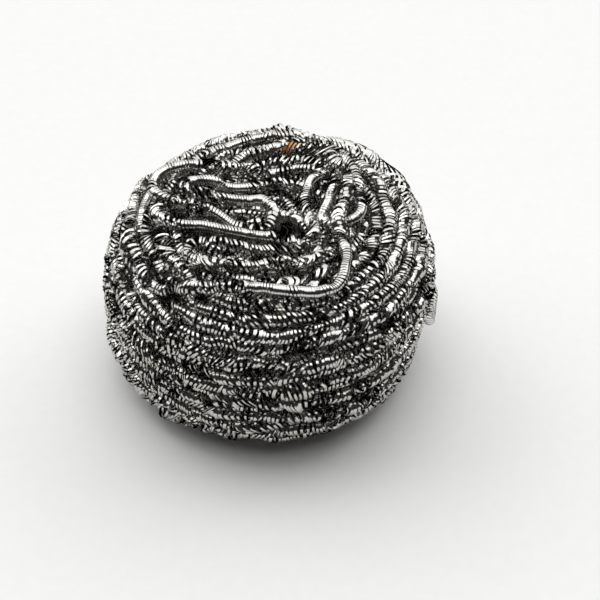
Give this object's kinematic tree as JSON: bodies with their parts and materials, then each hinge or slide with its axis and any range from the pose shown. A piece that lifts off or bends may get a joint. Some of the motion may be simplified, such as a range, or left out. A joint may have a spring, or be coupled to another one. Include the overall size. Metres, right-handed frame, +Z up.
{
  "type": "spiral steel scourer",
  "caption": "Squat round scourer wound from a long coiled strand of flat stainless ribbon, with loose loops in its hollow top and a free end at the side, for scrubbing pans.",
  "frame": {"origin": "middle of the bounding box on the plane that the pad rests on", "axes": "+Z up out of the hollow top, +X towards the side with the free end, +Y to the back of the picture"},
  "size_m": [0.0844, 0.0816, 0.0532],
  "materials": {
    "stainless_ribbon": "bright drawn flat ribbon, coiled"
  },
  "bodies": {
    "root": {"wound_strand": "stainless_ribbon"}
  },
  "joints": []
}
